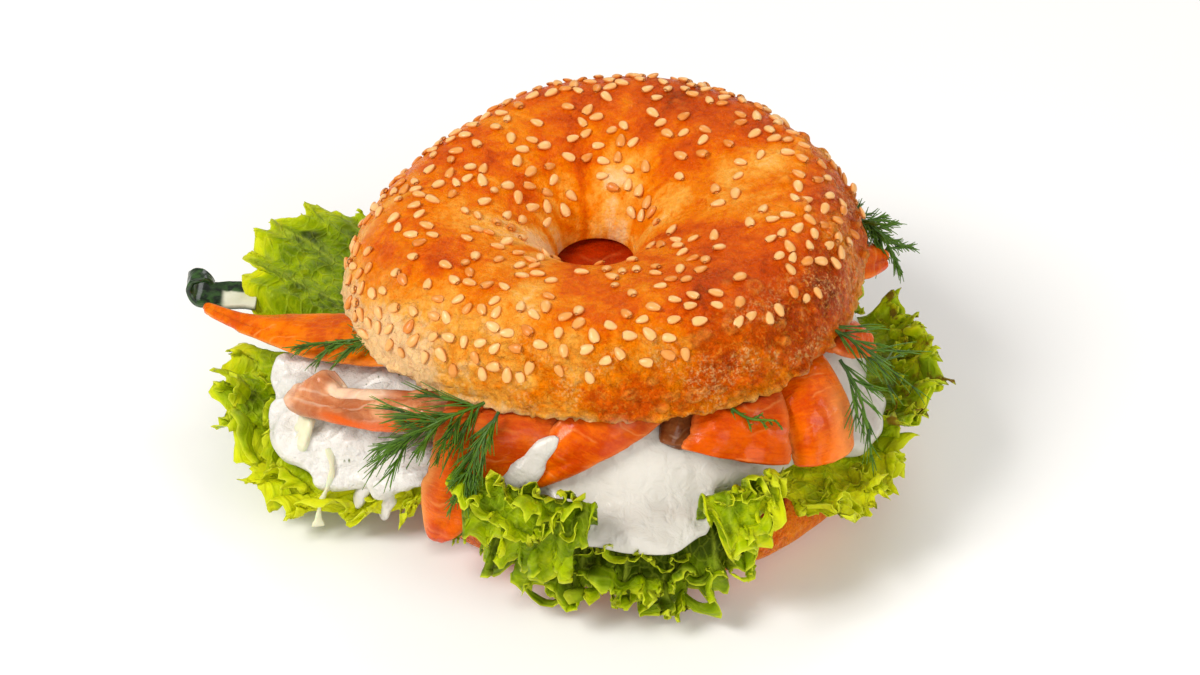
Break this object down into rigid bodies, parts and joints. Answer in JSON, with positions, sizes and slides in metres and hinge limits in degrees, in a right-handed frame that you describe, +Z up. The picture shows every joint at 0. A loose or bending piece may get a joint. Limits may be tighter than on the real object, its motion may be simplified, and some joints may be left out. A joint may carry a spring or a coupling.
{
  "type": "bagel sandwich",
  "caption": "Sesame bagel sandwich filled with smoked salmon, herb cream cheese, frilly lettuce, dill and a cucumber ribbon, lying flat on its bottom half.",
  "frame": {"origin": "under the middle of the bounding box, on the surface that the bottom half lies on", "axes": "+Z up, +X along the longest side towards the sandwich's right, +Y towards its back"},
  "size_m": [0.1644, 0.1288, 0.0635],
  "materials": {
    "bagel_crust": "baked crust with an egg-wash sheen, sesame seeds",
    "lettuce": "fresh leaf, satin",
    "cucumber": "moist pale flesh with a dark green rind",
    "salmon": "smoked fish, oily and moist",
    "cabbage": "raw, pale",
    "cream": "moist soft cheese with herb flecks",
    "dill": "fresh herb"
  },
  "bodies": {
    "root": {"bagel_bottom": "bagel_crust", "bagel_top": "bagel_crust", "lettuce_front": "lettuce", "lettuce_front_left": "lettuce", "lettuce_front_right": "lettuce", "lettuce_right_front": "lettuce", "lettuce_right": "lettuce", "lettuce_left": "lettuce", "lettuce_back_left": "lettuce", "lettuce_back": "lettuce", "cucumber_ribbon": "cucumber", "salmon_left_tongue": "salmon", "salmon_left_roll": "salmon", "salmon_front_drape": "salmon", "salmon_front": "salmon", "salmon_dark_scrap": "salmon", "salmon_front_right": "salmon", "salmon_right_fold": "salmon", "salmon_right": "salmon", "salmon_right_back": "salmon", "salmon_middle": "salmon", "cabbage_shred": "cabbage", "cream_cheese": "cream", "dill_left": "dill", "dill_front_left": "dill", "dill_front_drape": "dill", "dill_front": "dill", "dill_right": "dill", "dill_right_drape": "dill", "dill_right_back": "dill"}
  },
  "joints": []
}
